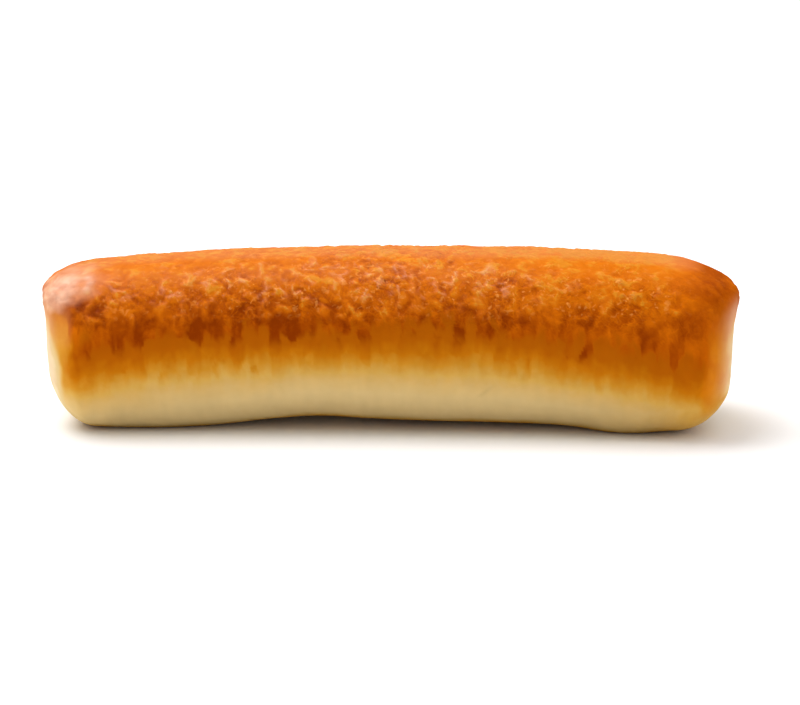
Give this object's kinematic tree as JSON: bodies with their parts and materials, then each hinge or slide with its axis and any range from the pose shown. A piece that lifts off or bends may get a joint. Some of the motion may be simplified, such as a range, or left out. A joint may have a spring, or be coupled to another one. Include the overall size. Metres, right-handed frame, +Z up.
{
  "type": "sausage roll",
  "caption": "Long sausage roll of soft bread dough with closed rounded ends, a glossy browned top and pale lower sides; a baked snack that lies flat.",
  "frame": {"origin": "middle of the bounding box, on the surface that the roll lies on", "axes": "+X along the roll, +Y away from its shown side, +Z up"},
  "size_m": [0.1484, 0.0444, 0.0368],
  "materials": {
    "crust": "baked dough: satin egg-washed brown crust above, matt pale cream below"
  },
  "bodies": {
    "root": {"sausage_roll": "crust"}
  },
  "joints": []
}
